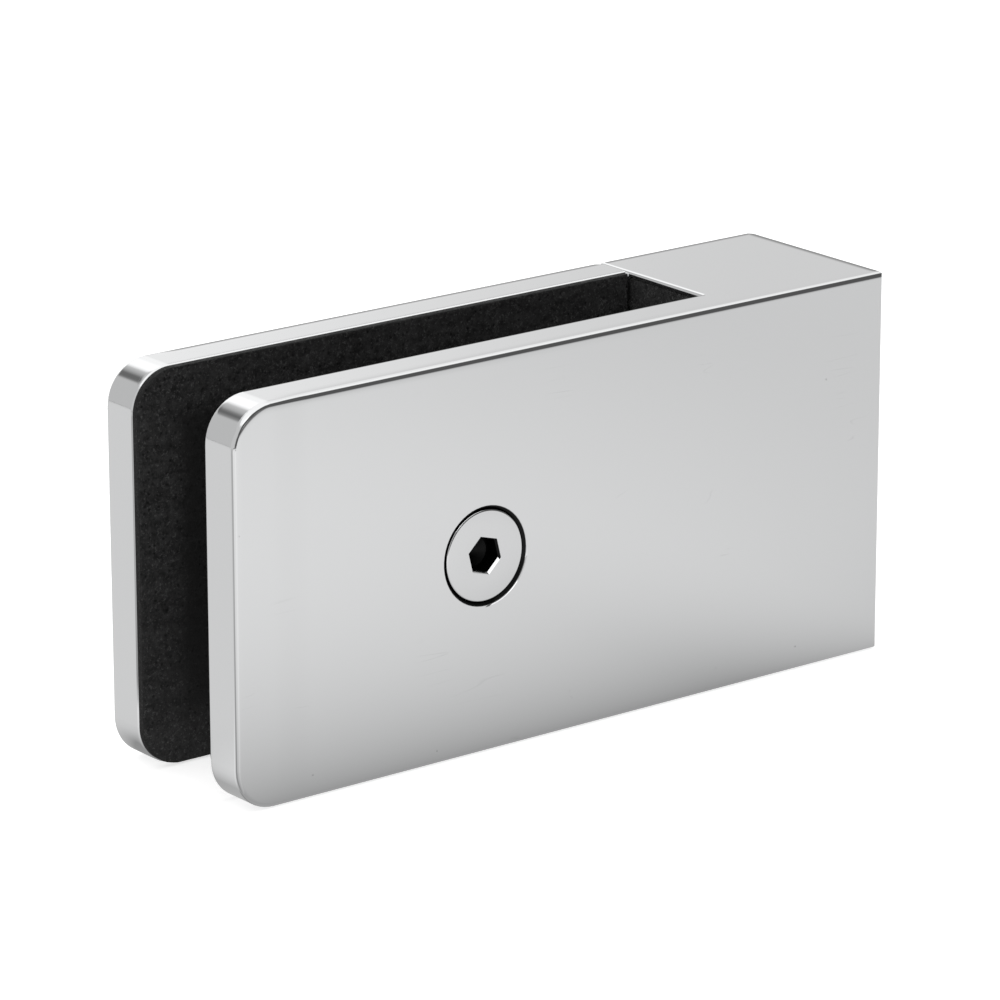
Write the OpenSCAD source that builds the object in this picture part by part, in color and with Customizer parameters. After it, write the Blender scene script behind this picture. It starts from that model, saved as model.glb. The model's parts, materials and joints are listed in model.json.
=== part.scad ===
// Glass panel clamp for a wall: a one-piece front jaw and block, a rear jaw drawn
// up by one countersunk screw, and black linings that hold the glass.
// Millimetres. +X points at the wall, +Y to the rear jaw, +Z up.
// The origin is the centre of the face that meets the wall.

/* [Clamp] */
// Length from the free end of the jaws to the wall
clamp_length = 100.8; // [80:0.1:140]
// Height of the jaws and of the block
clamp_height = 50; // [44:0.5:80]
// Length of the solid block at the wall
block_length = 25; // [20:0.5:40]
// Width of the slot between the two jaws
slot_width = 15; // [14:0.5:24]

/* [Jaws] */
// Thickness of the front jaw
front_jaw_thick = 5.475; // [5:0.025:10]
// Thickness of the rear jaw
rear_jaw_thick = 5.475; // [4.8:0.025:10]
// Radius of the two free corners of each jaw
corner_radius = 5.5; // [3:0.1:15]
// Rounding of the polished outer edges
edge_round = 0.6; // [0.3:0.1:1.2]
// Bevel of the edges round the slot
slot_bevel = 0.15; // [0.05:0.05:0.4]
// Radius of the upright rear corner of the block
block_corner_radius = 2.2; // [1.5:0.1:6]
// Bevel of the straight edges of the wall face
wall_bevel = 0.3; // [0.1:0.05:0.5]

/* [Seam] */
// Gap between the end of the rear jaw and the block
seam_gap = 0.3; // [0.25:0.05:0.6]
// Radius with which the rear jaw's outer face is polished off towards the seam
seam_round = 4; // [3.8:0.1:8]
// Length of the stretch that is polished off
seam_round_length = 3; // [0.5:0.1:3.6]
// Rounding of the block's edges at the seam and at the end of the slot
seam_edge = 0.35; // [0.1:0.05:0.8]

/* [Linings] */
// Thickness of the linings: glued on the jaws, let in flush at the end of the slot
lining_thick = 1; // [0.5:0.1:1.5]
// How far the linings of the jaws stop short of the seam
lining_stop = 0.35; // [0.1:0.05:1]
// Height of the steel left bare above and below the lining at the end of the slot
end_rim = 0.85; // [0.82:0.01:2]
// Gap round the lining at the end of the slot
lining_gap = 0.05; // [0.02:0.01:0.2]

/* [Screw] */
// Distance of the screw from the free end of the jaws
screw_setback = 37.1; // [25:0.1:60]
// Thread diameter of the screw
screw_d = 6; // [5:0.5:8]
// Diameter of the screw head
head_d = 11.6; // [10:0.1:16]
// Straight rim of the screw head
head_rim = 0.4; // [0.2:0.1:0.8]
// Rounding of the rim of the head
head_round = 0.25; // [0.1:0.05:0.3]
// How far the head lies below the front face
head_recess = 0.1; // [0:0.05:0.5]
// Gap along the screw between its head and the countersink
head_seat_gap = 0.03; // [0.01:0.01:0.1]
// Width across the flats of the hexagon socket
socket_flats = 4; // [3:0.5:5]
// Depth of the hexagon socket
socket_depth = 2.3; // [1.5:0.1:4]
// Bevel round the mouth of the hexagon socket
socket_bevel = 0.3; // [0.1:0.05:0.5]
// Angle at which the socket came to stand, in degrees
socket_angle = 44; // [0:1:59]
// Bevel at the tip of the screw
tip_bevel = 0.8; // [0.3:0.1:1]
// Gap round the screw in the front jaw
shank_gap = 0.2; // [0.1:0.05:0.5]
// Gap round the screw in its tapped hole
thread_gap = 0.05; // [0.02:0.01:0.1]
// How far the rear jaw can still close when the clamp is as drawn
close_travel = 2; // [0.5:0.1:2.5]
// Room left beyond the tip of the screw when the jaw is closed
tip_room = 0.5; // [0.3:0.1:1]
// How far the tapped hole runs into the rear jaw
tap_inset = 1.85; // [1:0.05:2]

/* [Boss and bush] */
// Diameter of the tapped boss on the rear jaw
boss_d = 12; // [10:0.5:14]
// Distance from the boss to the front jaw
boss_stand_off = 6; // [4:0.5:9]
// Bevel at the end of the boss
boss_bevel = 0.5; // [0.2:0.1:1]
// Wall of the bush that keeps the glass off the boss
bush_wall = 1.5; // [1:0.1:2]
// Gap between the bush and the boss
bush_gap = 0.05; // [0.02:0.01:0.1]
// Distance from the bush to the front jaw
bush_stand_off = 3.8; // [3:0.1:6]
// Bevel at both ends of the bush
bush_bevel = 0.4; // [0.2:0.1:0.6]
// Gap between the bush and the hole in each lining
lining_hole_gap = 0.4; // [0.2:0.1:1]

/* [Wall fixing] */
// Distance between the two wall screws
wall_hole_spacing = 30; // [27:0.5:34]
// Diameter of the holes for the wall screws
wall_hole_d = 6.6; // [4.5:0.1:7]
// Diameter of the seats for the heads of the wall screws
wall_seat_d = 11; // [9:0.5:12]
// Depth of the seats, from the end of the slot
wall_seat_depth = 12; // [6:0.5:14]
// Gap between a seat and the hole in the lining over it
wall_lining_gap = 0.5; // [0.2:0.1:0.8]

/* [Hidden] */
$fn = 96;
over = 1;
steel = [0.80, 0.81, 0.82];
rubber = [0.09, 0.09, 0.09];
nylon = [0.16, 0.16, 0.17];

depth = front_jaw_thick + slot_width + rear_jaw_thick;
half_height = clamp_height / 2;
x_end = -clamp_length;
x_block = -block_length;
x_rear_end = x_block - seam_gap;
y_front = -depth / 2;
y_rear = depth / 2;
y_slot_front = y_front + front_jaw_thick;
y_slot_rear = y_rear - rear_jaw_thick;
y_slot_mid = (y_slot_front + y_slot_rear) / 2;
screw_x = x_end + screw_setback;

front_jaw_length = clamp_length - block_length;
rear_jaw_length = front_jaw_length - seam_gap;
lining_length = rear_jaw_length - lining_stop;
end_recess_z = half_height - end_rim;
bush_d = boss_d + 2 * (bush_gap + bush_wall);
lining_hole_d = bush_d + 2 * lining_hole_gap;

head_y = y_front + head_recess;
cone_height = (head_d - screw_d) / 2;
shank_hole_d = screw_d + 2 * shank_gap;
sink_d = head_d + 2 * (head_recess + head_rim + head_seat_gap);
sink_depth = (sink_d - shank_hole_d) / 2;
tap_d = screw_d + 2 * thread_gap;
tap_end_y = y_slot_rear + tap_inset;
tip_y = tap_end_y - close_travel - tip_room;
socket_corners = socket_flats / cos(30);
drill_point = 1.2;

// Turns what is drawn along +Z so that it points along +Y, with X kept.
module along_y(x, y, z = 0) {
    translate([x, y, z])
        rotate([-90, 0, 0])
            children();
}

// Turns what is drawn along +Z so that it points along +X.
module along_x(x, y, z) {
    translate([x, y, z])
        rotate([0, 90, 0])
            children();
}

// Half of a jaw's section: its outer face on the X axis, its edge at x = `reach`.
module edge_section(reach, thick) {
    polygon([
        [0, 0],
        [reach - edge_round, 0],
        [reach, edge_round],
        [reach, thick - slot_bevel],
        [reach - slot_bevel, thick],
        [0, thick],
    ]);
    translate([reach - edge_round, edge_round])
        circle(r = edge_round);
}

// A jaw with its outer face at y = 0, its free end at x = 0, and `thick` along +Y.
// The section goes along both long edges, round both free corners and down the end.
module jaw_plate(length, thick) {
    straight = length - corner_radius;
    for (side = [0, 1])
        mirror([0, 0, side]) {
            translate([corner_radius, 0, 0])
                rotate([0, 90, 0])
                    linear_extrude(straight)
                        edge_section(half_height, thick);
            translate([corner_radius, 0, 0])
                mirror([1, 0, 0])
                    linear_extrude(half_height - corner_radius)
                        edge_section(corner_radius, thick);
            along_y(corner_radius, 0, half_height - corner_radius)
                rotate([0, 0, 180])
                    rotate_extrude(angle = 90)
                        edge_section(corner_radius, thick);
        }
}

// The outline of a jaw's flat inner face, from its free end towards +X, z drawn as +Y.
module lining_outline() {
    radius = corner_radius - slot_bevel;
    half = half_height - slot_bevel;
    translate([corner_radius, -half])
        square([lining_length - corner_radius, 2 * half]);
    translate([slot_bevel, -half + radius])
        square([radius, 2 * (half - radius)]);
    for (side = [-1, 1])
        translate([corner_radius, side * (half - radius)])
            circle(r = radius);
}

// The lining of one jaw, up from `y_low`, with the hole that clears the bush.
module lining_sheet(y_low) {
    difference() {
        translate([x_end, y_low + lining_thick, 0])
            rotate([90, 0, 0])
                linear_extrude(lining_thick)
                    lining_outline();
        along_y(screw_x, y_front)
            cylinder(h = depth, d = lining_hole_d);
    }
}

// The block's section across the clamp, with its four long edges rounded.
module block_section() {
    r = edge_round;
    w = depth / 2;
    h = half_height;
    polygon([
        [-w + r, -h], [w - r, -h], [w, -h + r], [w, h - r],
        [w - r, h], [-w + r, h], [-w, h - r], [-w, -h + r],
    ]);
    for (side_y = [-1, 1], side_z = [-1, 1])
        translate([side_y * (w - r), side_z * (h - r)])
            circle(r = r);
}

// Takes a bevel off the edge that runs along +Z from the origin, for the material
// in the quarter where x and y are both positive.
module edge_bevel(size, length) {
    translate([0, 0, -over])
        linear_extrude(length + 2 * over)
            polygon([[-over, size + over], [-over, -over], [size + over, -over]]);
}

// Rounds off the upright edge at the origin, for material on +X and +Y: the face on
// the X axis curves away with `radius` over its last stretch of the length `run`.
module edge_rounding(radius, run, length) {
    translate([0, 0, -length / 2])
        linear_extrude(length)
            difference() {
                translate([-over, -over])
                    square([run + over, radius + over]);
                translate([run, radius])
                    circle(r = radius);
            }
}

// The bevel of the wall face's upper, lower and front edges.
module wall_bevels() {
    for (side = [0, 1])
        mirror([0, 0, side])
            translate([0, y_front, half_height])
                rotate([-90, 0, 0])
                    mirror([1, 0, 0])
                        edge_bevel(wall_bevel, depth);
    translate([0, y_front, -half_height])
        mirror([1, 0, 0])
            edge_bevel(wall_bevel, clamp_height);
}

// The two through holes for the wall screws, with seats sunk from the slot.
module wall_holes() {
    for (side = [-1, 1])
        along_x(x_block, y_slot_mid, side * wall_hole_spacing / 2) {
            cylinder(h = block_length + over, d = wall_hole_d);
            translate([0, 0, -over])
                cylinder(h = wall_seat_depth + over, d = wall_seat_d);
        }
}

// The hole and countersink for the clamp screw, through the front jaw.
module screw_hole() {
    along_y(screw_x, y_front) {
        translate([0, 0, -over])
            cylinder(h = front_jaw_thick + 2 * over, d = shank_hole_d);
        cylinder(h = sink_depth, d1 = sink_d, d2 = shank_hole_d);
    }
}

// The rounding along the block's end of the slot and down its side of the seam.
module block_edges() {
    width = y_rear + over - y_slot_front;
    for (side = [0, 1])
        mirror([0, 0, side])
            translate([x_block, y_slot_front + width / 2, half_height])
                rotate([-90, 0, 0])
                    edge_rounding(seam_edge, seam_edge, width);
    translate([x_block, y_rear, 0])
        mirror([0, 1, 0])
            edge_rounding(seam_edge, seam_edge, clamp_height + 2 * over);
}

module body() {
    color(steel)
        difference() {
            union() {
                translate([x_end, y_front, 0])
                    jaw_plate(front_jaw_length, front_jaw_thick);
                translate([x_block, 0, 0])
                    rotate([90, 0, 90])
                        linear_extrude(block_length)
                            block_section();
            }
            translate([0, y_rear, 0])
                rotate([0, 0, 180])
                    edge_rounding(block_corner_radius, block_corner_radius,
                        clamp_height + 2 * over);
            block_edges();
            wall_bevels();
            translate([x_block - over, y_slot_front, -end_recess_z])
                cube([lining_thick + over, slot_width, 2 * end_recess_z]);
            screw_hole();
            wall_holes();
        }
}

module rear_jaw() {
    boss_y = y_slot_front + boss_stand_off;
    boss_length = tap_end_y - boss_y;
    bevel_d = boss_d - 2 * boss_bevel;
    color(steel)
        difference() {
            union() {
                difference() {
                    translate([x_end, y_rear, 0])
                        mirror([0, 1, 0])
                            jaw_plate(rear_jaw_length, rear_jaw_thick);
                    translate([x_rear_end, y_rear, 0])
                        rotate([0, 0, 180])
                            edge_rounding(seam_round, seam_round_length,
                                clamp_height + 2 * over);
                }
                along_y(screw_x, boss_y) {
                    cylinder(h = boss_bevel, d1 = bevel_d, d2 = boss_d);
                    translate([0, 0, boss_bevel])
                        cylinder(h = boss_length - boss_bevel, d = boss_d);
                }
            }
            along_y(screw_x, boss_y) {
                translate([0, 0, -over])
                    cylinder(h = boss_length + over, d = tap_d);
                translate([0, 0, boss_length])
                    cylinder(h = drill_point, d1 = tap_d, d2 = 0);
            }
        }
}

module clamp_screw() {
    shank = screw_d / 2;
    head = head_d / 2;
    cone_start = head_recess + head_rim;
    tip = tip_y - y_front;
    color(steel)
        difference() {
            along_y(screw_x, y_front)
                rotate_extrude() {
                    polygon([
                        [0, head_recess],
                        [head - head_round, head_recess],
                        [head, head_recess + head_round],
                        [head, cone_start],
                        [shank, cone_start + cone_height],
                        [shank, tip - tip_bevel],
                        [shank - tip_bevel, tip],
                        [0, tip],
                    ]);
                    translate([head - head_round, head_recess + head_round])
                        circle(r = head_round);
                }
            along_y(screw_x, head_y)
                rotate([0, 0, -socket_angle]) {
                    translate([0, 0, -over])
                        cylinder(h = socket_depth + over, d = socket_corners, $fn = 6);
                    cylinder(h = socket_bevel, d1 = socket_corners + 2 * socket_bevel,
                        d2 = socket_corners, $fn = 6);
                }
        }
}

module front_lining() {
    color(rubber)
        lining_sheet(y_slot_front);
}

module rear_lining() {
    color(rubber)
        lining_sheet(y_slot_rear - lining_thick);
}

module end_lining() {
    half = end_recess_z - lining_gap;
    color(rubber)
        difference() {
            translate([x_block, y_slot_front + lining_gap, -half])
                cube([lining_thick, slot_width - 2 * lining_gap, 2 * half]);
            for (side = [-1, 1])
                along_x(x_block - over, y_slot_mid, side * wall_hole_spacing / 2)
                    cylinder(h = lining_thick + 2 * over, d = wall_seat_d + 2 * wall_lining_gap);
        }
}

module glass_bush() {
    inner = boss_d / 2 + bush_gap;
    outer = bush_d / 2;
    length = slot_width - bush_stand_off;
    color(nylon)
        along_y(screw_x, y_slot_front + bush_stand_off)
            rotate_extrude()
                polygon([
                    [inner, 0],
                    [outer - bush_bevel, 0],
                    [outer, bush_bevel],
                    [outer, length - bush_bevel],
                    [outer - bush_bevel, length],
                    [inner, length],
                ]);
}

body();
rear_jaw();
clamp_screw();
front_lining();
rear_lining();
end_lining();
glass_bush();
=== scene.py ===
"""Dresses a glass panel clamp and sets up its studio.

The steel parts keep their shapes and get a mirror polish, the screw gets a cut thread
and a broached socket, the linings get a pitted face with worn edges, and the bush a
moulded finish. Everything is in metres and stands in the clamp's own frame."""

import json
import math

import bmesh
import bpy
from bpy.props import FloatProperty, FloatVectorProperty, PointerProperty
from mathutils import Matrix, Vector, noise


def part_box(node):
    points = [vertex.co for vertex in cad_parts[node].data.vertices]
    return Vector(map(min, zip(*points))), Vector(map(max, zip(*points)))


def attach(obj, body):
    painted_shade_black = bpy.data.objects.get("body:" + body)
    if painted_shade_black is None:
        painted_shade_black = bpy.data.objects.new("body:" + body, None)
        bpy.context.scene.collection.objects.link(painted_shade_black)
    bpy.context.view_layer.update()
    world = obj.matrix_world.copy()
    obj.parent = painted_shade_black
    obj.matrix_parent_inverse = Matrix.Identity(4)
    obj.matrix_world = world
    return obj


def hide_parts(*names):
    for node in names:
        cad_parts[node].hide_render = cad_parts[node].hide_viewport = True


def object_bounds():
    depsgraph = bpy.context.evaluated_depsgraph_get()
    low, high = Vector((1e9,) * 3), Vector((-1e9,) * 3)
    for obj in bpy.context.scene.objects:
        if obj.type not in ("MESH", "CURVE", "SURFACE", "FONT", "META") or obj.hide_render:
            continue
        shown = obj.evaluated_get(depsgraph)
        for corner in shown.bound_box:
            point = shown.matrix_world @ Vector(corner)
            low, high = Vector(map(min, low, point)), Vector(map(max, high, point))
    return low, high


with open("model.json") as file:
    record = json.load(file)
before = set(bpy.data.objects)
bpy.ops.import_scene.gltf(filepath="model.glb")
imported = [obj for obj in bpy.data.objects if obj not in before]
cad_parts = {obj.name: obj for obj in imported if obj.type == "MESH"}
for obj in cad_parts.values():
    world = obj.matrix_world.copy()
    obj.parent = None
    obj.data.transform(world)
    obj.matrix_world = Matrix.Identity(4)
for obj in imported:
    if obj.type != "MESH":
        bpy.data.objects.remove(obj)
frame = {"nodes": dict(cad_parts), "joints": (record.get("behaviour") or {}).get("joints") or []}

bl_info = {
    "name": "Glass Panel Clamp",
    "version": (1, 0, 0),
    "blender": (4, 5, 0),
    "location": "3D View > Sidebar > Glass Clamp",
    "description": "Dresses a glass panel clamp and sets up its studio",
    "category": "Object",
}

MM = 0.001
MICRON = 1e-6
# Near-black painted as shade: in the groove round the screw's head, in the screw's socket and
# below its rim
PAINTED_SHADE = (0.02, 0.02, 0.02, 1.0)
CAD_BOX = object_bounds()
STEEL_NODES = ("body", "rear_jaw")

# The screens of the light tent, each laid over those before it. The first number is the
# screen's tone. The others are angles in degrees: the bearing of its middle (0 is behind
# the clamp, 90 at the wall), half its width, the rise of its lower and of its upper edge,
# and half the widths over which its sides, its lower edge and its upper edge fade.
TENT_SCREENS = (
    (0.57, 142, 75, -20, 60, 25, 4, 8),  # dim side in front, towards the wall
    (1.15, 0, 180, 46, 100, 1, 4, 1),  # bright top, all round
    (0.10, 160, 60, -3, 50, 10, 8, 3),  # dark screen in front
    (0.70, 172, 12, 9.5, 12, 5, 0.8, 0.8),  # pale gap in the dark screen
    (1.45, -141, 22, 42, 62, 6, 4, 4),  # lamp high in front, past the free end
    (1.12, 42, 40, -8, 60, 4, 4, 4),  # bright cloth behind, towards the wall
    (1.28, 13, 10, 30, 44, 6, 4, 4),  # brightest part of the cloth
    (1.0, 60, 19, 28, 60, 4, 6, 6),  # upper part near the wall, a little dimmer
    (0.72, 60, 24.6, -8, 34, 6, 4, 12),  # lower part near the wall, dimmer
    (0.30, 50, 30, -8, 9, 10, 4, 4),  # dark foot of the cloth
    (0.58, -40, 21, -4, 33, 5, 4, 1),  # dim screen behind, past the free end
    (0.16, -14.5, 9, 31, 38, 7, 1.5, 3),  # dark bar high behind
)


def joint_place(name):
    """The point that a joint of the clamp turns about, at rest."""
    for joint in frame["joints"]:
        if joint["name"] == name:
            return Vector(joint["pos_m"])
    raise RuntimeError(f"The clamp has no joint named {name}")


# Sizes and colours that a user may change


class ClampSteelSettings(bpy.types.PropertyGroup):
    """The mirror-polished stainless steel of the jaws and the block."""

    color: FloatVectorProperty(
        name="Steel",
        description="Colour that the polished steel reflects",
        subtype="COLOR",
        size=3,
        min=0.0,
        max=1.0,
        default=(0.80, 0.805, 0.81),
    )
    roughness: FloatProperty(
        name="Roughness",
        description="Roughness of the freshly polished steel",
        subtype="FACTOR",
        min=0.0,
        max=1.0,
        default=0.035,
    )
    ripple: FloatProperty(
        name="Ripple",
        description="Height of the slow ripple that polishing leaves, in micrometres",
        min=0.0,
        max=20.0,
        default=3.0,
    )
    pit_share: FloatProperty(
        name="Pits",
        description="Share of the pit grid's cells that hold a pit",
        subtype="FACTOR",
        min=0.0,
        max=1.0,
        default=0.2,
    )
    scratch_depth: FloatProperty(
        name="Scratches",
        description="Depth of the hairline scratches, in micrometres",
        min=0.0,
        max=5.0,
        default=0.9,
    )
    corner: FloatProperty(
        name="Corner",
        description="Radius of a jaw's two corners at the free end",
        subtype="DISTANCE",
        unit="LENGTH",
        min=0.0,
        max=0.015,
        default=0.0055,
    )
    fall_width: FloatProperty(
        name="Fall width",
        description="Width of the strip that polishing rounded off along a broad face's edge",
        subtype="DISTANCE",
        unit="LENGTH",
        min=0.0002,
        max=0.004,
        default=0.0016,
    )
    fall_angle: FloatProperty(
        name="Fall angle",
        description="Steepest slope of that strip, at the edge",
        subtype="ANGLE",
        unit="ROTATION",
        min=0.0,
        max=math.radians(40),
        default=math.radians(20.5),
    )
    narrow_fall_width: FloatProperty(
        name="Narrow fall width",
        description="Width of that strip on the narrow faces",
        subtype="DISTANCE",
        unit="LENGTH",
        min=0.0002,
        max=0.005,
        default=0.0022,
    )
    narrow_fall_angle: FloatProperty(
        name="Narrow fall angle",
        description="Steepest slope of that strip on the narrow faces",
        subtype="ANGLE",
        unit="ROTATION",
        min=0.0,
        max=math.radians(40),
        default=math.radians(13),
    )
    hole_gap: FloatProperty(
        name="Hole gap",
        description="Gap between the screw's head and its hole in the front jaw",
        subtype="DISTANCE",
        unit="LENGTH",
        min=0.0,
        max=0.002,
        default=0.00053,
    )
    # The groove's ring is painted black as shade, standing for the dark gap round the screw's
    # head
    groove: FloatProperty(
        name="Groove",
        description="Width of the ring round the screw's head where polishing paste stays",
        subtype="DISTANCE",
        unit="LENGTH",
        min=0.0,
        max=0.002,
        default=0.0006,
    )


class ClampScrewSettings(bpy.types.PropertyGroup):
    """The countersunk screw that draws the rear jaw up."""

    color: FloatVectorProperty(
        name="Screw steel",
        description="Colour that the screw reflects",
        subtype="COLOR",
        size=3,
        min=0.0,
        max=1.0,
        default=(0.78, 0.785, 0.79),
    )
    thread: FloatProperty(
        name="Thread diameter",
        description="Outer diameter of the thread",
        subtype="DISTANCE",
        unit="LENGTH",
        min=0.003,
        max=0.01,
        default=0.006,
    )
    pitch: FloatProperty(
        name="Pitch",
        description="Rise of the thread in one turn",
        subtype="DISTANCE",
        unit="LENGTH",
        min=0.0004,
        max=0.002,
        default=0.001,
    )
    rim: FloatProperty(
        name="Rim",
        description="Straight rim of the head",
        subtype="DISTANCE",
        unit="LENGTH",
        min=0.0001,
        max=0.001,
        default=0.0004,
    )
    rounding: FloatProperty(
        name="Rim rounding",
        description="Rounding between the rim and the face of the head",
        subtype="DISTANCE",
        unit="LENGTH",
        min=0.00005,
        max=0.0004,
        default=0.00025,
    )
    socket: FloatProperty(
        name="Socket",
        description="Hexagon socket across its flats",
        subtype="DISTANCE",
        unit="LENGTH",
        min=0.002,
        max=0.006,
        default=0.004,
    )
    socket_bevel: FloatProperty(
        name="Socket bevel",
        description="Bevel round the mouth of the socket",
        subtype="DISTANCE",
        unit="LENGTH",
        min=0.0,
        max=0.0005,
        default=0.00028,
    )
    socket_depth: FloatProperty(
        name="Socket depth",
        description="Depth of the socket down to its flat floor",
        subtype="DISTANCE",
        unit="LENGTH",
        min=0.001,
        max=0.004,
        default=0.0022,
    )
    socket_turn: FloatProperty(
        name="Socket turn",
        description="Angle at which the socket came to stand",
        subtype="ANGLE",
        unit="ROTATION",
        min=0.0,
        max=math.radians(60),
        default=math.radians(44),
    )


class ClampLiningSettings(bpy.types.PropertyGroup):
    """The black linings of the slot."""

    color: FloatVectorProperty(
        name="Lining",
        description="Colour of the black linings",
        subtype="COLOR",
        size=3,
        min=0.0,
        max=1.0,
        default=(0.017, 0.017, 0.017),
    )
    corner: FloatProperty(
        name="Corner",
        description="Radius of a lining's two corners at the free end",
        subtype="DISTANCE",
        unit="LENGTH",
        min=0.0,
        max=0.015,
        default=0.00535,
    )
    front_setback: FloatProperty(
        name="Front setback",
        description="How far the front lining ends inside the rear one's outline",
        subtype="DISTANCE",
        unit="LENGTH",
        min=0.0,
        max=0.001,
        default=0.0005,
    )
    hole_gap: FloatProperty(
        name="Hole gap",
        description="Gap between the bush and the hole in a lining",
        subtype="DISTANCE",
        unit="LENGTH",
        min=0.0,
        max=0.002,
        default=0.0004,
    )
    swell: FloatProperty(
        name="Unevenness",
        description="Height of the slow unevenness of a lining's face",
        subtype="DISTANCE",
        unit="LENGTH",
        min=0.0,
        max=0.0002,
        default=0.00005,
    )
    edge_wear: FloatProperty(
        name="Edge wear",
        description="Widest strip that wear has rounded off along an edge",
        subtype="DISTANCE",
        unit="LENGTH",
        min=0.00005,
        max=0.0005,
        default=0.00028,
    )
    step: FloatProperty(
        name="Step",
        description="Distance between the mesh points along a lining's edge",
        subtype="DISTANCE",
        unit="LENGTH",
        min=0.0003,
        max=0.002,
        default=0.0005,
    )


class ClampBushSettings(bpy.types.PropertyGroup):
    """The nylon bush that keeps the glass off the screw's boss."""

    color: FloatVectorProperty(
        name="Nylon",
        description="Colour of the bush",
        subtype="COLOR",
        size=3,
        min=0.0,
        max=1.0,
        default=(0.035, 0.035, 0.038),
    )
    roughness: FloatProperty(
        name="Roughness",
        description="Roughness of the moulded nylon",
        subtype="FACTOR",
        min=0.0,
        max=1.0,
        default=0.45,
    )


class ClampStudioSettings(bpy.types.PropertyGroup):
    """The camera, the floor and the light tent."""

    azimuth: FloatProperty(
        name="Azimuth",
        description="Angle of the camera round the clamp, 0 when it looks along +Y",
        subtype="ANGLE",
        unit="ROTATION",
        default=math.radians(-38.07),
    )
    elevation: FloatProperty(
        name="Elevation",
        description="Angle of the camera above the horizon",
        subtype="ANGLE",
        unit="ROTATION",
        default=math.radians(17.12),
    )
    roll: FloatProperty(
        name="Roll",
        description="Turn of the camera about its line of sight",
        subtype="ANGLE",
        unit="ROTATION",
        default=math.radians(-0.08),
    )
    distance: FloatProperty(
        name="Distance",
        description="Distance from the camera to the point that it looks at",
        subtype="DISTANCE",
        unit="LENGTH",
        min=0.1,
        default=0.6805,
    )
    lens: FloatProperty(
        name="Lens",
        description="Focal length on a sensor 36 mm wide, in millimetres",
        min=20.0,
        default=198.23,
    )
    aim: FloatVectorProperty(
        name="Aim",
        description="Where the camera looks, from the middle of the clamp",
        subtype="XYZ",
        unit="LENGTH",
        size=3,
        default=(-0.0009, 0.0, 0.00155),
    )
    floor_half: FloatProperty(
        name="Floor",
        description="Half the width of the floor",
        subtype="DISTANCE",
        unit="LENGTH",
        min=0.5,
        default=3.0,
    )
    tent_tone: FloatProperty(
        name="Tent",
        description="Brightness of the light tent",
        min=0.0,
        max=2.0,
        default=0.64,
    )
    floor_tone: FloatProperty(
        name="Floor tone",
        description="Brightness of the floor in front, as the polished steel shows it",
        min=0.0,
        max=2.0,
        default=0.89,
    )
    back_tone: FloatProperty(
        name="Back tone",
        description="Brightness of the floor behind, as the polished steel shows it",
        min=0.0,
        max=2.0,
        default=0.74,
    )
    floor_lift: FloatProperty(
        name="Floor lift",
        description="Brightness added to the floor where the camera sees it",
        min=0.0,
        max=1.0,
        default=0.68,
    )


# Meshes and nodes


def part_object(name, mesh, material, body, node=None):
    """A finished piece: linked, riding on its body, and standing for its CAD node."""
    piece = bpy.data.objects.new(name, mesh)
    bpy.context.scene.collection.objects.link(piece)
    piece.data.materials.append(material)
    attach(piece, body)
    if node:
        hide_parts(node)
    return piece


def mesh_of(name, shape, sharp=math.radians(35)):
    """A smooth-shaded mesh from a bmesh, with its sharp edges marked."""
    bmesh.ops.recalc_face_normals(shape, faces=shape.faces)
    mesh = bpy.data.meshes.new(name)
    shape.to_mesh(mesh)
    shape.free()
    for face in mesh.polygons:
        face.use_smooth = True
    mesh.set_sharp_from_angle(angle=sharp)
    return mesh


def bridge(shape, first, second):
    """Quads between two closed rings of as many points."""
    count = len(first)
    for i in range(count):
        j = (i + 1) % count
        shape.faces.new((first[i], first[j], second[j], second[i]))


def dress(name, material):
    """Gives a CAD node one material."""
    materials = frame["nodes"][name].data.materials
    materials.clear()
    materials.append(material)


def shade(color, share=1.0):
    """A share of a setting's colour, as a node takes it."""
    return tuple(share * channel for channel in color) + (1.0,)


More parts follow.
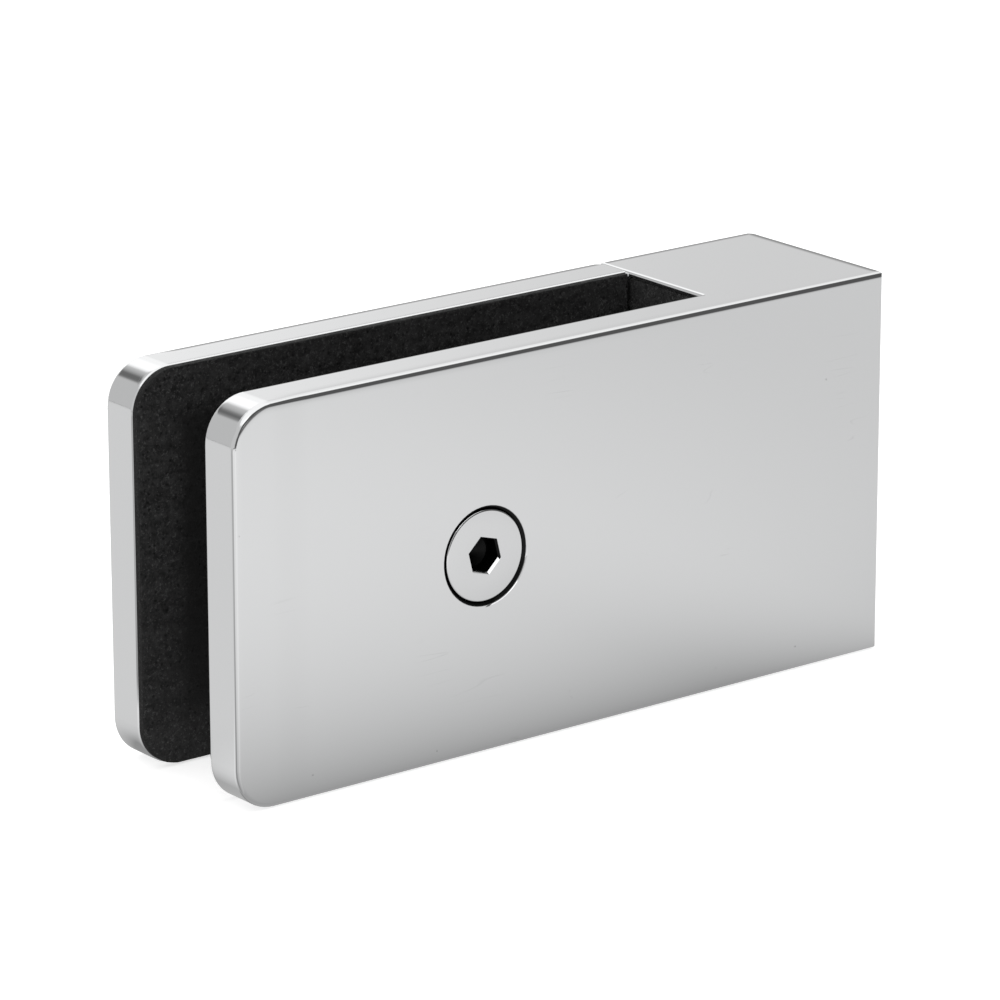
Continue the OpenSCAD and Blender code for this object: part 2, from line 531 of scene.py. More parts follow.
class Graph:
    """Builds one node tree: what is passed in may be a value or another node's socket."""

    def __init__(self, tree):
        self.tree = tree
        tree.nodes.clear()

    def node(self, kind, inputs=None, **options):
        made = self.tree.nodes.new(kind)
        for key, value in options.items():
            setattr(made, key, value)
        for key, value in (inputs or {}).items():
            self.feed(made.inputs[key], value)
        return made

    def feed(self, socket, value):
        if isinstance(value, bpy.types.NodeSocket):
            self.tree.links.new(value, socket)
        else:
            socket.default_value = value

    def math(self, operation, *values, clamp=False):
        inputs = dict(enumerate(values))
        made = self.node("ShaderNodeMath", inputs, operation=operation, use_clamp=clamp)
        return made.outputs[0]

    def ramp(self, value, low, high, at_low=0.0, at_high=1.0):
        """Smoothly from at_low to at_high while value goes from low to high."""
        made = self.node(
            "ShaderNodeMapRange",
            {0: value, 1: low, 2: high, 3: at_low, 4: at_high},
            interpolation_type="SMOOTHSTEP",
        )
        return made.outputs[0]

    def mix(self, factor, first, second):
        made = self.node("ShaderNodeMix", {0: factor, 2: first, 3: second})
        return made.outputs[0]

    def mix_color(self, factor, first, second):
        made = self.node("ShaderNodeMix", {0: factor, 6: first, 7: second}, data_type="RGBA")
        return made.outputs[2]

    def mix_shader(self, factor, first, second):
        inputs = {0: factor, 1: first.outputs[0], 2: second.outputs[0]}
        return self.node("ShaderNodeMixShader", inputs)

    def place(self):
        return self.node("ShaderNodeTexCoord").outputs["Object"]

    def turned(self, vector, turn, scale=(1, 1, 1)):
        inputs = {"Vector": vector, "Rotation": turn, "Scale": scale}
        return self.node("ShaderNodeMapping", inputs).outputs[0]

    def cloud(self, vector, scale, detail=2.0, roughness=0.5):
        inputs = {"Vector": vector, "Scale": scale, "Detail": detail, "Roughness": roughness}
        return self.node("ShaderNodeTexNoise", inputs).outputs[0]

    def cells(self, vector, scale):
        """Distance to the nearest cell centre, in cells, and a random grey for that cell."""
        made = self.node("ShaderNodeTexVoronoi", {"Vector": vector, "Scale": scale})
        grey = self.node("ShaderNodeSeparateColor", {0: made.outputs["Color"]})
        return made.outputs["Distance"], grey.outputs[0]

    def fold(self, operation, values):
        """One value from several: the first with the second, that with the third, and on."""
        result = values[0]
        for value in values[1:]:
            result = self.math(operation, result, value)
        return result

    def total(self, *values):
        return self.fold("ADD", values)

    def product(self, *values):
        return self.fold("MULTIPLY", values)

    def least(self, *values):
        return self.fold("MINIMUM", values)

    def most(self, *values):
        return self.fold("MAXIMUM", values)

    def minus(self, first, second):
        return self.math("SUBTRACT", first, second)

    def size(self, value):
        """The value without its sign."""
        return self.math("ABSOLUTE", value)

    def weighted(self, *pairs):
        """The sum of values that are each given with their weight."""
        return self.total(*(self.product(value, weight) for value, weight in pairs))

    def apart(self, vector):
        return self.node("ShaderNodeSeparateXYZ", {0: vector}).outputs

    def length(self, first, second):
        squares = [self.math("POWER", value, 2.0) for value in (first, second)]
        return self.math("SQRT", self.total(*squares))

    def off_bearing(self, bearing, middle):
        """Angle between a bearing and another one given in degrees, either way round."""
        turn = self.minus(bearing, math.radians(middle))
        return self.size(self.math("WRAP", turn, math.pi, -math.pi))

    def edge_depth(self, place, low, high, corner):
        """How far a point of a jaw lies inside the jaw's outline, seen from the front."""
        x, _, z = self.apart(place)
        half, middle = (high.z - low.z) / 2, (high.z + low.z) / 2
        past_x = self.minus(low.x + corner, x)
        past_z = self.minus(self.size(self.minus(z, middle)), half - corner)
        outside = self.length(self.most(past_x, 0.0), self.most(past_z, 0.0))
        inside = self.least(self.most(past_x, past_z), 0.0)
        return self.minus(corner, self.total(outside, inside))


def new_material(name):
    material = bpy.data.materials.new(name)
    material.use_nodes = True
    return material, Graph(material.node_tree)


def give_surface(graph, color, roughness, metallic, height, specular=0.5):
    """Ends a material: height is in micrometres, and becomes a bump."""
    bump = graph.node("ShaderNodeBump", {"Strength": 1.0, "Distance": MICRON, "Height": height})
    shader = graph.node(
        "ShaderNodeBsdfPrincipled",
        {
            "Base Color": color,
            "Metallic": metallic,
            "Roughness": roughness,
            "Specular IOR Level": specular,
            "Normal": bump.outputs[0],
        },
    )
    graph.node("ShaderNodeOutputMaterial", {"Surface": shader.outputs[0]})


def hairlines(graph, place, turn, spacing, length, share):
    """Thin straight scratches, 1 on a scratch: turn is their heading."""
    half_width, breaks, fade = 0.012, 2.3, 0.06
    lanes = graph.turned(place, turn, (1 / length, 1 / spacing, 1 / spacing))
    wander = graph.cloud(lanes, 1.0, detail=0.0)
    line = graph.ramp(graph.size(graph.minus(wander, 0.5)), 0.0, half_width, 1, 0)
    where = graph.cloud(graph.turned(place, turn, (1 / length,) * 3), breaks, detail=1.0)
    return graph.product(line, graph.ramp(where, 1 - share, 1 + fade - share))


def pits(graph, place, scale, share, radius):
    """Small round pits, 1 in the middle of a pit: share of the cells have one."""
    distance, chance = graph.cells(place, scale)
    has_pit = graph.math("LESS_THAN", chance, share)
    return graph.product(graph.ramp(distance, 0.0, radius, 1, 0), has_pit)


# Materials


def fading(graph, depth, width):
    """1 at an edge, and evenly down to 0 at a width from it."""
    return graph.math("SUBTRACT", 1.0, graph.math("DIVIDE", depth, width), clamp=True)


def fall_off(graph, depth, width, angle):
    """Height in micrometres of a face that polishing rounded off along its edge."""
    fall = width * math.tan(angle) / 3 / MICRON
    return graph.product(graph.math("POWER", fading(graph, depth, width), 3.0), -fall)


def polished_steel(settings, low, high, slot_low, slot_high, screw_head):
    """Mirror-polished stainless steel: slow ripple, faint haze, hairlines and pits.

    The faces fall off along their edges, and the wall face is only ground. The screw's
    hole has a broken edge below, towards the wall, and the groove round the screw's head
    is painted black as shade, for the dark gap there. The slot is given by the corner that
    lies lowest in X, Y and Z and by the one that lies highest."""
    flat_edge = 0.015 * MM
    slot_fall_width, slot_fall_angle = 0.9 * MM, math.radians(8)
    ground_from, ground_to = 0.1 * MM, 0.05 * MM
    broken_width, broken_depth = 0.18 * MM, 220.0
    shade_from, shade_to = 0.02 * MM, 0.08 * MM
    corner = settings.corner
    material, graph = new_material("polished_steel_worn")
    place = graph.place()
    x, y, z = graph.apart(place)

    ripple = graph.cloud(place, 55.0, detail=1.0)
    peel = graph.cloud(place, 650.0, detail=1.0)
    haze = graph.ramp(graph.cloud(place, 90.0, detail=4.0, roughness=0.65), 0.35, 0.75)
    lines = graph.most(
        hairlines(
            graph, place, turn=(0.3, 0.75, 0.2), spacing=0.0021, length=0.03, share=0.36
        ),
        hairlines(
            graph, place, turn=(-0.4, -0.9, 1.1), spacing=0.0015, length=0.012, share=0.32
        ),
    )
    pit = pits(graph, place, scale=210.0, share=settings.pit_share, radius=0.045)

    # Along the outline, where polishing took more off towards the top
    inside = graph.most(graph.edge_depth(place, low, high, corner), flat_edge)
    at_top_corner = graph.product(
        graph.ramp(x, low.x + corner * 0.4, low.x + corner, 1, 0),
        graph.ramp(z, high.z - corner, high.z - corner * 0.4),
    )
    polished_more = graph.total(
        graph.ramp(z, low.z + corner, high.z - corner, 0.2, 1.0),
        graph.product(at_top_corner, 0.9),
    )
    outline_fall = fall_off(graph, inside, settings.fall_width, settings.fall_angle)

    # On the narrow faces, past the round corners, and beside the slot
    across = graph.least(
        graph.minus(y, low.y), graph.minus(high.y, y), graph.minus(high.x, x)
    )
    narrow_fall = fall_off(
        graph, across, settings.narrow_fall_width, settings.narrow_fall_angle
    )
    past_corner = graph.ramp(x, low.x + corner, low.x + corner * 2)
    past_slot = graph.math("GREATER_THAN", x, slot_high.x)
    beside_slot = graph.total(
        graph.most(graph.minus(slot_low.y, y), graph.minus(y, slot_high.y)), past_slot
    )
    slot_fall = fall_off(graph, beside_slot, slot_fall_width, slot_fall_angle)

    # The face against the wall
    ground = graph.ramp(x, high.x - ground_from, high.x - ground_to)
    grinding = graph.cloud(graph.turned(place, (0.2, 0.0, 0.0), (1, 60, 1)), 300.0)

    # The screw's hole in the front jaw
    head, radius = screw_head
    off_axis = graph.length(graph.minus(x, head.x), graph.minus(z, head.z))
    in_front_jaw = graph.math("LESS_THAN", y, slot_low.y)
    in_groove = graph.math("LESS_THAN", off_axis, radius + settings.groove)
    # Painted shade: the groove round the screw's head is painted black, for the dark gap there
    painted_shade = graph.product(
        in_groove, in_front_jaw, graph.ramp(y, low.y + shade_from, low.y + shade_to)
    )
    past_hole = graph.minus(off_axis, radius + settings.hole_gap)
    downhill = graph.minus(graph.minus(x, head.x), graph.minus(z, head.z))
    on_lower_side = graph.ramp(downhill, radius * 1.05, radius * 1.3)
    broken_edge = graph.product(
        fading(graph, past_hole, broken_width), graph.product(on_lower_side, in_front_jaw)
    )

    height = graph.total(
        graph.weighted(
            (ripple, settings.ripple),
            (peel, 0.06),
            (lines, -settings.scratch_depth),
            (pit, -9.0),
            (outline_fall, polished_more),
            (broken_edge, -broken_depth),
            (narrow_fall, past_corner),
        ),
        slot_fall,
        graph.product(grinding, ground, 3.0),
    )
    roughness = graph.total(
        settings.roughness,
        graph.product(haze, 0.03),
        graph.product(lines, 0.12),
        graph.product(pit, 0.3),
        graph.product(ground, 0.22),
        graph.product(painted_shade, 0.4),
    )
    marks = graph.most(graph.product(lines, 0.13), pit)
    color = graph.mix_color(
        graph.product(marks, 0.8), shade(settings.color), shade(settings.color, 0.62)
    )
    color = graph.mix_color(painted_shade, color, PAINTED_SHADE)
    give_surface(graph, color, roughness, 1.0, height)
    return material


def screw_steel(settings, head, radius):
    """Turned stainless steel: fine rings about the screw's axis and key rubs.

    The socket and the rim below the head's face are painted black as shade; in the socket the
    black is partly oxide. On one side of the socket the painted shade reaches up to the bevel,
    and uphill on the rim it starts deeper."""
    bevel, rounding = settings.socket_bevel, settings.rounding
    shaded_side_reach = 12.0
    material, graph = new_material("screw_steel_turned")
    place = graph.node(
        "ShaderNodeVectorMath", {0: graph.place(), 1: tuple(head)}, operation="SUBTRACT"
    ).outputs[0]
    x, y, z = graph.apart(place)
    off_axis = graph.length(x, z)
    rings = graph.node("ShaderNodeCombineXYZ", {0: off_axis, 1: y, 2: 0.0})
    turning = graph.cloud(rings.outputs[0], 14000.0, detail=1.0)
    rub = graph.cloud(place, 1400.0, detail=3.0)

    # Painted shade in the socket reaches up to the bevel on its darker side
    side = settings.socket_turn - math.radians(30)
    toward_side = graph.weighted((x, math.cos(side)), (z, math.sin(side)))
    shaded_side = graph.math("GREATER_THAN", toward_side, settings.socket * 0.49)
    shade_depth = graph.product(y, graph.total(1.0, graph.product(shaded_side, shaded_side_reach)))
    in_socket = graph.product(
        graph.math("LESS_THAN", off_axis, settings.socket * 0.7),
        graph.ramp(shade_depth, bevel * 0.95, bevel * 1.1),
    )

    # Painted shade below the head's rim starts deeper uphill, where the rim catches light
    at_rim = graph.math("GREATER_THAN", off_axis, radius - rounding)
    uphill = graph.ramp(graph.minus(z, x), radius * 0.9, radius * 1.25)
    rim_shade_depth = graph.product(y, graph.minus(1.0, graph.product(uphill, 0.5)))
    on_rim = graph.product(at_rim, graph.ramp(rim_shade_depth, rounding * 0.35, rounding * 0.6))

    # The black of the socket and of the rim is painted shade; in the socket it is partly oxide
    painted_shade = graph.most(in_socket, on_rim)
    height = graph.weighted((turning, 0.05), (rub, 0.1))
    roughness = graph.total(0.05, graph.product(rub, 0.06), graph.product(painted_shade, 0.4))
    color = graph.mix_color(painted_shade, shade(settings.color), PAINTED_SHADE)
    give_surface(graph, color, roughness, 1.0, height)
    return material


def black_lining(settings, low, high):
    """Matt black sheet: grain, pits, rub marks, and painted light with dust specks where it lies
    open; pits, holes and the cut edge are painted darker as shade.
    """
    material, graph = new_material("black_lining_pitted")
    place = graph.place()
    grain = graph.cloud(place, 4200.0, detail=3.0, roughness=0.7)
    lumps = graph.cloud(place, 1100.0, detail=3.0, roughness=0.65)
    streaks = graph.cloud(graph.turned(place, (0, 0, 0), (0.12, 1, 1)), 900.0, detail=2.0)
    patch = graph.cloud(place, 60.0, detail=3.0)
    specks = graph.ramp(graph.cloud(place, 3300.0, detail=2.0, roughness=0.7), 0.56, 0.68)
    rubs = hairlines(
        graph, place, turn=(0.1, 0.85, 0.0), spacing=0.0011, length=0.004, share=0.47
    )
    pit = pits(graph, place, scale=1500.0, share=0.3, radius=0.45)

    # Open to the light is a strip of uneven width along the edge, where the lining is painted
    # lighter
    depth = graph.edge_depth(place, low, high, settings.corner)
    drift = graph.product(graph.minus(patch, 0.5), 7 * MM)
    open_side = graph.ramp(graph.total(depth, drift), 3.5 * MM, 8.5 * MM, 1, 0)
    # The sheet's cut edge, painted darker as shade
    shaded_cut_edge = graph.ramp(depth, 0.03 * MM, 0.12 * MM, 1, 0)

    # Most of the larger holes lie in an uneven row below the top edge
    from_top = graph.minus(high.z, graph.apart(place)[2])
    row_depth = graph.ramp(patch, 0.3, 0.7, 4 * MM, 6 * MM)
    off_row = graph.size(graph.minus(from_top, row_depth))
    hole_share = graph.ramp(off_row, 0.2 * MM, 1.4 * MM, 0.4, 0.05)
    hole = pits(graph, place, scale=330.0, share=hole_share, radius=0.24)

    # Shares of the lining's colour: 0.25 is painted shade in pits, holes and on the cut edge, 1
    # the plain sheet, 4.6 the rub marks and painted light near the open edges, 10 the lit specks
    # there
    painted_shade_black, base, rubbed_and_lit, lit_speck_color = (
        shade(settings.color, share) for share in (0.25, 1.0, 4.6, 10.0)
    )
    mottle = graph.ramp(graph.total(grain, lumps, graph.product(streaks, 0.5)), 0.9, 1.65)
    # Painted light: the mottle and the specks are lighter where the slot lies open and light
    # comes in
    worn_and_lit = graph.product(mottle, graph.ramp(open_side, 0.0, 1.0, 0.1, 0.85))
    lit_specks = graph.product(specks, graph.ramp(open_side, 0.0, 1.0, 0.06, 0.62))
    color = graph.mix_color(worn_and_lit, base, rubbed_and_lit)
    color = graph.mix_color(graph.product(rubs, 0.35), color, rubbed_and_lit)
    color = graph.mix_color(lit_specks, color, lit_speck_color)
    # Painted shade in the pits and holes, and on the cut edge
    color = graph.mix_color(graph.most(hole, pit), color, painted_shade_black)
    color = graph.mix_color(graph.product(shaded_cut_edge, 0.6), color, painted_shade_black)
    height = graph.weighted((grain, 45.0), (lumps, 60.0), (pit, -60.0), (hole, -160.0))
    roughness = graph.ramp(lumps, 0.3, 0.7, 0.5, 0.8)
    specular = graph.mix(shaded_cut_edge, 0.3, 0.2)
    give_surface(graph, color, roughness, 0.0, height, specular)
    return material


def black_nylon(settings):
    """Moulded black nylon: fine mould texture and a slightly uneven gloss."""
    material, graph = new_material("black_nylon_moulded")
    place = graph.place()
    texture = graph.cloud(place, 3800.0, detail=2.0)
    flow = graph.cloud(place, 260.0, detail=2.0)
    height = graph.weighted((texture, 8.0), (flow, 12.0))
    color = graph.mix_color(flow, shade(settings.color), shade(settings.color, 1.5))
    roughness = graph.total(settings.roughness, graph.product(flow, 0.2))
    give_surface(graph, color, roughness, 0.0, height)
    return material


def floor_material(settings, low, high):
    """Pale floor: white behind the clamp, and graded with painted light and shade in what the
    steel reflects.
    """
    free_end_tone, distant_tone, darkest_tone = 0.98, 0.15, 0.03
    near_wall_tone = settings.floor_tone - 0.17
    shadow_length, contact_length = 28 * MM, 4 * MM
    material, graph = new_material("studio_floor_pale")
    x, y, _ = graph.apart(graph.place())

    def beyond(value, least, most):
        """How far a coordinate lies outside the clamp's."""
        off_middle = graph.size(graph.minus(value, (least + most) / 2))
        return graph.most(graph.minus(off_middle, (most - least) / 2), 0.0)

    def dying_away(distance, length):
        """1 at the clamp, and less by the same factor with every length."""
        return graph.math("EXPONENT", graph.product(distance, -1 / length))

    # The floor's painted brightness from place to place, light and shade as the steel sees it
    front = graph.minus(low.y, y)
    tone = graph.ramp(x, -60 * MM, 100 * MM, settings.floor_tone, near_wall_tone)
    from_free_end = graph.ramp(graph.total(x, front), low.x - 60 * MM, low.x + 20 * MM)
    tone = graph.mix(from_free_end, free_end_tone, tone)
    tone = graph.mix(graph.ramp(front, 220 * MM, 900 * MM), tone, distant_tone)
    tone = graph.mix(graph.ramp(y, low.y, high.y), tone, settings.back_tone)
    far_behind = graph.ramp(graph.minus(y, high.y), 300 * MM, 1500 * MM)
    tone = graph.mix(far_behind, tone, graph.ramp(x, -100 * MM, 300 * MM, 0.62, 0.35))

    # The clamp's shadow in front of it, and the dark line where it stands
    shadow = graph.product(
        dying_away(front, shadow_length),
        graph.ramp(front, -4 * MM, 1 * MM, 0.0, 0.47),
        graph.ramp(x, -28 * MM, 12 * MM, 1.0, 0.42),
    )
    away = graph.length(beyond(x, low.x, high.x), beyond(y, low.y, high.y))
    contact = graph.product(
        dying_away(away, contact_length), 0.42, graph.ramp(front, -2 * MM, 0.0, 1.0, 0.15)
    )
    tone = graph.minus(tone, graph.total(shadow, contact))

    # A painted dark and a painted pale sector about the free end, as the steel sees the floor
    round_end = graph.math("ARCTAN2", graph.minus(x, low.x), graph.minus(y, low.y))

    def sector(middle, width):
        """1 in a sector given by its bearing and its width in degrees."""
        off = graph.off_bearing(round_end, middle)
        return graph.ramp(off, math.radians(width * 0.5), math.radians(width), 1, 0)

    tone = graph.mix(graph.product(sector(-95, 26), 0.42), tone, 0.1)
    tone = graph.total(tone, graph.product(sector(188, 24), 0.07))
    tone = graph.most(tone, darkest_tone)

    path = graph.node("ShaderNodeLightPath").outputs
    plain = graph.node("ShaderNodeBsdfDiffuse", {"Color": (0.8, 0.8, 0.8, 1.0)})
    lift = graph.product(path["Is Camera Ray"], settings.floor_lift)
    fill = graph.node("ShaderNodeEmission", {"Strength": lift})
    seen = graph.node("ShaderNodeAddShader", {0: plain.outputs[0], 1: fill.outputs[0]})
    shown = graph.node("ShaderNodeEmission", {"Strength": tone})
    top = graph.mix_shader(path["Is Glossy Ray"], seen, shown)
    under = graph.node("ShaderNodeNewGeometry").outputs["Backfacing"]
    clear = graph.node("ShaderNodeBsdfTransparent")
    sided = graph.mix_shader(under, top, clear)
    graph.node("ShaderNodeOutputMaterial", {"Surface": sided.outputs[0]})
    return material


# Pieces


def screw_profile(settings, low, high):
    """Rings of the screw's outside below its head: radius and depth from the rim down."""
    radius = (high.x - low.x) / 2
    shank = settings.thread / 2
    rounding = settings.rounding
    steps = 6
    rings = [(radius - rounding, 0.0)]
    for i in range(1, steps + 1):
        angle = math.radians(90) * i / steps
        rings.append(
            (radius - rounding + rounding * math.sin(angle), rounding * (1 - math.cos(angle)))
        )
    rings.append((radius, settings.rim))
    rings.append((shank, settings.rim + radius - shank))
    return rings


def thread_radius(turn, depth, start, end, settings):
    """Radius of the thread at an angle in turns and a depth, with its runouts."""
    crest, flank = 0.12, 0.70
    outer = settings.thread / 2
    cut = 0.6 * settings.pitch
    phase = (depth / settings.pitch - turn) % 1.0
    off_crest = abs(phase - 0.5) * 2
    groove = min(1.0, max(0.0, (off_crest - crest) / flank))
    runin = min(1.0, max(0.0, (depth - start) / settings.pitch))
    point = max(0.0, depth - (end - 0.9 * settings.pitch))
    return min(outer - cut * groove * runin, outer - point)


def screw_mesh(settings, low, high):
    """The screw, its head's face at the low Y and its axis along Y."""
    around, steps_in_pitch = 144, 14
    length = high.y - low.y
    shape = bmesh.new()

    def ring(radius_of, depth):
        """Points about the axis at one depth: radius_of takes the number of the point."""
        points = []
        for i in range(around):
            angle = 2 * math.pi * i / around - settings.socket_turn
            radius = radius_of(i)
            points.append(
                shape.verts.new((radius * math.cos(angle), depth, -radius * math.sin(angle)))
            )
        return points

    def even(radius, depth):
        return ring(lambda i: radius, depth)

    half = settings.socket / 2
    bevel = settings.socket_bevel
    side = math.radians(60)

    def hexagon(across, depth):
        """A ring that follows a hexagon, given by half its width across the flats."""

        def radius_of(i):
            angle = 2 * math.pi * i / around % side
            return across / math.cos(angle - side / 2)

        return ring(radius_of, depth)

    floor = settings.socket_depth
    drill = half * 0.92
    tip = floor + drill * math.tan(math.radians(28))
    middle = shape.verts.new((0, tip, 0))
    rings = [
        even(drill * 0.5, (floor + tip) / 2),
        even(drill, floor),
        hexagon(half, floor),
        hexagon(half, bevel),
        hexagon(half + bevel * 0.87, 0.0),
        even(half * 1.45, 0.0),
    ]
    for radius, depth in screw_profile(settings, low, high):
        rings.append(even(radius, depth))
    start = settings.rim + (high.x - low.x) / 2 - settings.thread / 2
    steps = int((length - start) / (settings.pitch / steps_in_pitch))
    for k in range(1, steps + 1):
        depth = start + (length - start) * k / steps
        rings.append(
            ring(lambda i: thread_radius(i / around, depth, start, length, settings), depth)
        )
    rings.append(even(settings.thread * 0.2, length))
    for i in range(around):
        shape.faces.new((middle, rings[0][i], rings[0][(i + 1) % around]))
    for first, second in zip(rings, rings[1:]):
        bridge(shape, first, second)
    shape.faces.new(rings[-1])
    return mesh_of("countersunk_screw", shape, math.radians(28))


def rounded_outline(low, high, corner, step):
    """Evenly spaced points round a sheet in X and Z: corners at its low X are round."""
    corners = []
    count = max(2, round(corner * math.pi / 2 / step))
    for middle_z, turn in ((low.z + corner, 180), (high.z - corner, 90)):
        middle = Vector((low.x + corner, middle_z))
        for i in range(count + 1):
            angle = math.radians(turn + 90 * (1 - i / count))
            corners.append(middle + corner * Vector((math.cos(angle), math.sin(angle))))
    corners += [Vector((high.x, high.z)), Vector((high.x, low.z))]
    points = []
    for here, there in zip(corners, corners[1:] + corners[:1]):
        count = max(1, round((there - here).length / step))
        points += [here.lerp(there, i / count) for i in range(count)]
    return points


def unevenness(point, seed):
    """A slow unevenness between 0 and 1."""
    place = Vector((point.x, point.y, seed)) * 240
    return 0.5 + 0.5 * noise.fractal(place, 0.7, 2.0, 4, noise_basis="PERLIN_ORIGINAL")


def edge_wear(point, seed, widest):
    """How wide the edge is worn at a point: here and there it isn't worn much."""
    fine = noise.noise(Vector((point.x, point.y, seed)) * 1300)
    slow = noise.noise(Vector((point.y, seed, point.x)) * 160)
    return widest * (0.3 + 0.35 * (1 + fine) * max(0.0, 0.6 + slow))


def lining_mesh(name, outline, centre, hole, face, back, settings, seed):
    """A sheet round a hole: its face, at the depth `face`, is uneven and its edges worn."""
    shape = bmesh.new()
    inward = 1 if back > face else -1
    columns = 56

    def ring(points, depth_of):
        return [shape.verts.new((p.x, depth_of(p), p.y)) for p in points]

    def outward(point):
        return (point - centre).normalized()

    def rim_point(point, share):
        return (centre + outward(point) * hole).lerp(point, share)

    def sunk(point):
        return face + inward * settings.swell * unevenness(point, seed)

    worn_and_lit = [edge_wear(p, seed, settings.edge_wear) for p in outline]
    rows = []
    for c in range(columns + 1):
        share = c / columns
        points = []
        for p, cut in zip(outline, worn_and_lit):
            reach = (p - centre).length - hole
            points.append(rim_point(p, min(share, 1 - cut / reach)))
        rows.append(ring(points, sunk))
    for share in (0.35, 0.7, 1.0):
        drop = 1 - math.sqrt(max(0.0, 1 - share * share))
        row = []
        for p, cut in zip(outline, worn_and_lit):
            q = p - outward(p) * cut * (1 - share)
            row.append(shape.verts.new((q.x, sunk(q) + inward * cut * drop, q.y)))
        rows.append(row)
    rows.append(ring(outline, lambda p: back))
    rows.append(ring([rim_point(p, 0.0) for p in outline], lambda p: back))
    for first, second in zip(rows, rows[1:] + rows[:1]):
        bridge(shape, first, second)
    return mesh_of(name, shape)


# Operators


class CLAMP_OT_polish_steel(bpy.types.Operator):
    """Give the body and the rear jaw their mirror polish"""

    bl_idname = "clamp.polish_steel"
    bl_label = "Polish Steel"

    def execute(self, context):
        screw_low, screw_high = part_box("clamp_screw")
        screw_head = joint_place("screw_turn"), (screw_high.x - screw_low.x) / 2
        end_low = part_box("end_lining")[0]
        slot_low = Vector((CAD_BOX[0].x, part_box("front_lining")[0].y, CAD_BOX[0].z))
        slot_high = Vector((end_low.x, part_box("rear_lining")[1].y, CAD_BOX[1].z))
        material = polished_steel(
            context.scene.clamp_steel, *CAD_BOX, slot_low, slot_high, screw_head
        )
        for name in STEEL_NODES:
            dress(name, material)
        return {"FINISHED"}


class CLAMP_OT_cut_screw(bpy.types.Operator):
    """Make the countersunk screw with its thread and socket"""

    bl_idname = "clamp.cut_screw"
    bl_label = "Cut Screw"

    def execute(self, context):
        settings = context.scene.clamp_screw
        low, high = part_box("clamp_screw")
        axis = joint_place("screw_turn")
        head = Vector((axis.x, low.y, axis.z))
        mesh = screw_mesh(settings, low, high)
        mesh.transform(Matrix.Translation(head))
        material = screw_steel(settings, head, (high.x - low.x) / 2)
        part_object("countersunk_screw", mesh, material, "screw", "clamp_screw")
        return {"FINISHED"}


class CLAMP_OT_lay_linings(bpy.types.Operator):
    """Lay the black linings on the two jaws and on the block"""

    bl_idname = "clamp.lay_linings"
    bl_label = "Lay Linings"

    def execute(self, context):
        settings = context.scene.clamp_lining
        material = black_lining(settings, *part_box("rear_lining"))
        axis = joint_place("screw_turn")
        bush_low, bush_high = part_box("glass_bush")
        centre = Vector((axis.x, axis.z))
        hole = (bush_high.x - bush_low.x) / 2 + settings.hole_gap
        for node, body, seed in (
            ("front_lining", "fixed_part", 3.0),
            ("rear_lining", "moving_jaw", 11.0),
        ):
            low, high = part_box(node)
            face, back = low.y, high.y
            if node == "front_lining":
                face, back = high.y, low.y
                setback = settings.front_setback
                low += Vector((setback, 0, setback))
                high -= Vector((0, 0, setback))
            outline = rounded_outline(low, high, settings.corner, settings.step)
            name = node + "_sheet"
            mesh = lining_mesh(name, outline, centre, hole, face, back, settings, seed)
            part_object(name, mesh, material, body, node)
        dress("end_lining", material)
        return {"FINISHED"}


class CLAMP_OT_mould_bush(bpy.types.Operator):
    """Give the bush its moulded nylon finish"""

    bl_idname = "clamp.mould_bush"
    bl_label = "Mould Bush"

    def execute(self, context):
        dress("glass_bush", black_nylon(context.scene.clamp_bush))
        return {"FINISHED"}


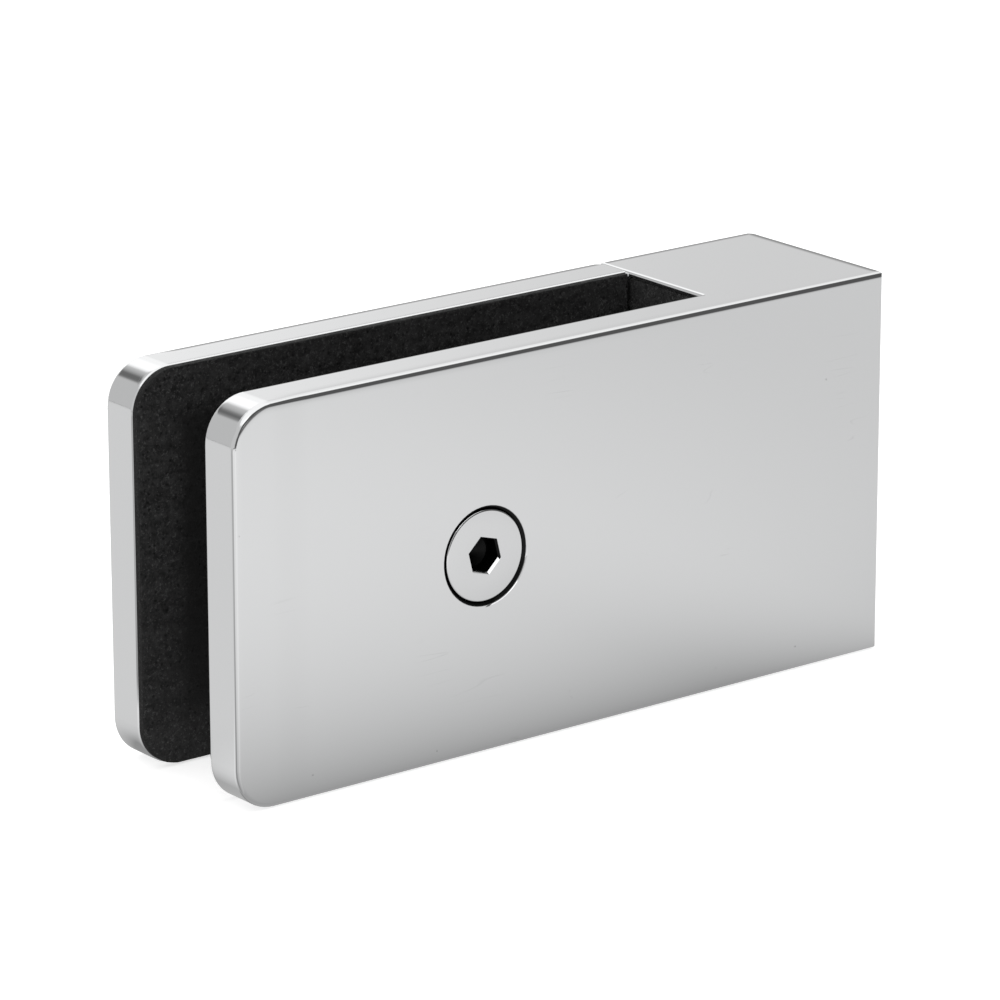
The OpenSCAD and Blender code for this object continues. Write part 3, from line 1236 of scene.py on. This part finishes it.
class CLAMP_OT_build_studio(bpy.types.Operator):
    """Set up the floor, the light tent and the camera"""

    bl_idname = "clamp.build_studio"
    bl_label = "Build Studio"

    def execute(self, context):
        settings = context.scene.clamp_studio
        low, high = CAD_BOX
        self.lay_floor(context, settings, low, high)
        self.hang_tent(context, settings)
        self.place_camera(context, settings, (low + high) / 2)
        context.scene.view_settings.view_transform = "Standard"
        return {"FINISHED"}

    def lay_floor(self, context, settings, low, high):
        shape = bmesh.new()
        bmesh.ops.create_grid(shape, x_segments=4, y_segments=4, size=settings.floor_half)
        mesh = bpy.data.meshes.new("studio_floor")
        shape.to_mesh(mesh)
        shape.free()
        mesh.materials.append(floor_material(settings, low, high))
        floor = bpy.data.objects.new("studio_floor", mesh)
        floor.location = (0, 0, low.z - 0.1 * MM)
        context.scene.collection.objects.link(floor)

    def hang_tent(self, context, settings):
        """A pale tent with screens of other tones laid over it, plain white to the camera."""
        world = bpy.data.worlds.new("studio_tent")
        world.use_nodes = True
        context.scene.world = world
        graph = Graph(world.node_tree)
        heading = graph.node("ShaderNodeTexCoord").outputs["Generated"]
        x, y, z = graph.apart(heading)
        bearing = graph.math("ARCTAN2", x, y)
        rise = graph.math("ARCSINE", z)

        def past(angle, edge, soft, at_low, at_high):
            """From at_low to at_high where an angle passes an edge given in degrees."""
            low, high = math.radians(edge - soft), math.radians(edge + soft)
            return graph.ramp(angle, low, high, at_low, at_high)

        tone = settings.tent_tone
        for level, side, width, bottom, top, soft_side, soft_low, soft_high in TENT_SCREENS:
            beside = past(graph.off_bearing(bearing, side), width, soft_side, 1, 0)
            over = past(rise, bottom, soft_low, 0, 1)
            under = past(rise, top, soft_high, 1, 0)
            mask = graph.product(beside, graph.product(over, under))
            tone = graph.mix(mask, tone, level)
        path = graph.node("ShaderNodeLightPath")
        strength = graph.mix(path.outputs["Is Camera Ray"], tone, 1.0)
        white = (1.0, 1.0, 1.0, 1.0)
        tent = graph.node("ShaderNodeBackground", {"Color": white, "Strength": strength})
        graph.node("ShaderNodeOutputWorld", {"Surface": tent.outputs[0]})

    def place_camera(self, context, settings, middle):
        azimuth, elevation = settings.azimuth, settings.elevation
        back = Vector(
            (
                math.sin(azimuth) * math.cos(elevation),
                -math.cos(azimuth) * math.cos(elevation),
                math.sin(elevation),
            )
        )
        data = bpy.data.cameras.new("studio_camera")
        data.sensor_width = 36.0
        data.lens = settings.lens
        data.clip_start, data.clip_end = 0.01, 20.0
        camera = bpy.data.objects.new("studio_camera", data)
        facing = (-back).to_track_quat("-Z", "Y").to_matrix().to_4x4()
        roll = Matrix.Rotation(settings.roll, 4, "Z")
        place = middle + Vector(settings.aim) + back * settings.distance
        camera.matrix_world = Matrix.Translation(place) @ facing @ roll
        context.scene.collection.objects.link(camera)
        context.scene.camera = camera


class CLAMP_PT_panel(bpy.types.Panel):
    """Sizes, colours and steps of the glass panel clamp"""

    bl_label = "Glass Panel Clamp"
    bl_idname = "CLAMP_PT_panel"
    bl_space_type = "VIEW_3D"
    bl_region_type = "UI"
    bl_category = "Glass Clamp"

    def draw(self, context):
        for key, group, operator in STEPS:
            box = self.layout.box()
            settings = getattr(context.scene, key)
            for name in group.__annotations__:
                box.prop(settings, name)
            box.operator(operator.bl_idname)


STEPS = (
    ("clamp_steel", ClampSteelSettings, CLAMP_OT_polish_steel),
    ("clamp_screw", ClampScrewSettings, CLAMP_OT_cut_screw),
    ("clamp_lining", ClampLiningSettings, CLAMP_OT_lay_linings),
    ("clamp_bush", ClampBushSettings, CLAMP_OT_mould_bush),
    ("clamp_studio", ClampStudioSettings, CLAMP_OT_build_studio),
)


def register():
    for key, group, operator in STEPS:
        bpy.utils.register_class(group)
        setattr(bpy.types.Scene, key, PointerProperty(type=group))
        bpy.utils.register_class(operator)
    bpy.utils.register_class(CLAMP_PT_panel)


def unregister():
    bpy.utils.unregister_class(CLAMP_PT_panel)
    for key, group, operator in reversed(STEPS):
        bpy.utils.unregister_class(operator)
        delattr(bpy.types.Scene, key)
        bpy.utils.unregister_class(group)


def main():
    """Registers the add-on, and makes every piece and the studio."""
    register()
    bpy.ops.clamp.build_studio()
    bpy.ops.clamp.polish_steel()
    bpy.ops.clamp.cut_screw()
    bpy.ops.clamp.lay_linings()
    bpy.ops.clamp.mould_bush()


if __name__ == "__main__":
    main()
